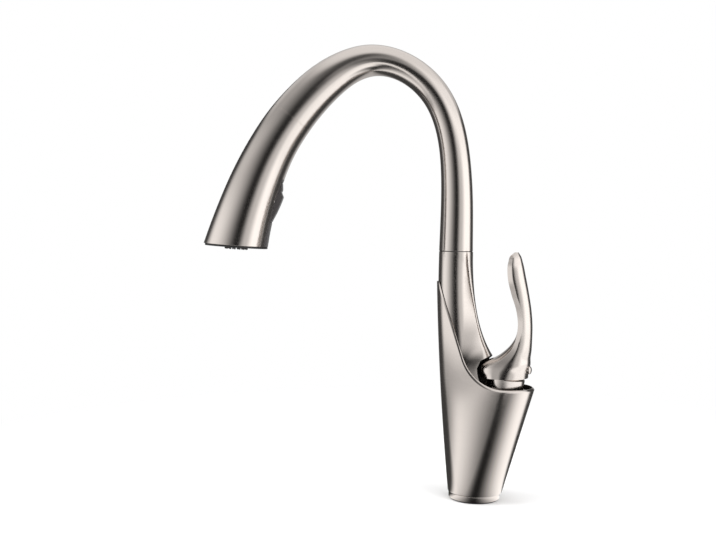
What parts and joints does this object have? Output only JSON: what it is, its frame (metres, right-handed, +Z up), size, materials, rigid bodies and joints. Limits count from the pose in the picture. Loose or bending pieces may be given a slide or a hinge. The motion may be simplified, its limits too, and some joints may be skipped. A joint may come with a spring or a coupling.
{
  "type": "pull-out kitchen faucet",
  "caption": "Gooseneck kitchen faucet with a leaning skirt, a pull-out spray head with a rocker selector, and a side lever over a ceramic-disc cartridge.",
  "frame": {"origin": "centre of the base on the deck, on the axis of the threaded shank", "axes": "+Z up along the shank, +X towards the lever, spout at rest 28 degrees round from -X towards -Y"},
  "size_m": [0.2738, 0.1451, 0.4468],
  "materials": {
    "nickel": "brushed nickel, satin",
    "brass": "turned",
    "steel": "plain",
    "black_rubber": "matt",
    "grey_plastic": "satin",
    "white_plastic": "moulded",
    "ceramic": "polished",
    "braid": "woven nylon"
  },
  "bodies": {
    "stand": {"deck_gasket": "black_rubber", "base_ring": "nickel", "shank": "brass", "skirt": "nickel", "body": "nickel", "hose_lower": "braid", "cartridge_seal": "black_rubber", "cartridge_housing": "white_plastic", "fixed_disc": "ceramic", "bonnet_nut": "brass", "bonnet_cap": "nickel", "glide_washer": "black_rubber"},
    "spout_arm": {"spout": "nickel", "spout_spigot": "brass", "lower_bearing": "white_plastic", "upper_bearing": "white_plastic", "snap_ring": "steel", "dock_socket": "white_plastic", "pullout_hose": "braid"},
    "spray_head": {"head_shell": "nickel", "dock_plug": "white_plastic", "hose_nut": "brass", "spray_core": "white_plastic", "bumper_ring": "black_rubber", "face_plate": "grey_plastic", "nozzle_mat": "grey_plastic", "aerator": "grey_plastic", "button_panel": "grey_plastic", "button_pin": "steel"},
    "rocker": {"rocker_button": "grey_plastic"},
    "diverter": {"diverter_plunger": "white_plastic"},
    "turntable": {"cartridge_rotor": "white_plastic", "stem_pin": "steel"},
    "handle": {"lever": "nickel", "cartridge_stem": "white_plastic", "set_screw": "steel", "screw_plug": "black_rubber"},
    "disc": {"moving_disc": "ceramic"}
  },
  "joints": [
    {"name": "spout_swivel", "type": "hinge", "parent": "stand", "child": "spout_arm", "pos_m": [-0.022, 0, 0.2165], "axis": [0, 0, 1], "continuous": true},
    {"name": "spray_pull", "type": "slide", "parent": "spout_arm", "child": "spray_head", "axis": [-0.5276, -0.2805, -0.8018], "range_m": [0, 0.45], "deforming": ["pullout_hose"]},
    {"name": "rocker_press", "type": "hinge", "parent": "spray_head", "child": "rocker", "pos_m": [-0.16441, -0.07572, 0.25737], "axis": [0.4695, -0.8829, 0], "range_deg": [0, 8]},
    {"name": "diverter_slide", "type": "slide", "parent": "spray_head", "child": "diverter", "axis": [-0.854, -0.4541, 0.2538], "range_m": [0, 0.0019]},
    {"name": "lever_turn", "type": "hinge", "parent": "stand", "child": "turntable", "pos_m": [0.0244, 0, 0.0893], "axis": [0.1564, 0, 0.9877], "range_deg": [-45, 45]},
    {"name": "lever_lift", "type": "hinge", "parent": "turntable", "child": "handle", "pos_m": [0.0244, 0, 0.0893], "axis": [0, 1, 0], "range_deg": [0, 18]},
    {"name": "disc_slide", "type": "slide", "parent": "turntable", "child": "disc", "axis": [-0.9877, 0, 0.1564], "range_m": [0, 0.0049]}
  ],
  "couplings": [
    {"joint": "diverter_slide", "follows": "rocker_press", "m_per_rad": 0.0135},
    {"joint": "disc_slide", "follows": "lever_lift", "m_per_rad": 0.01544}
  ]
}
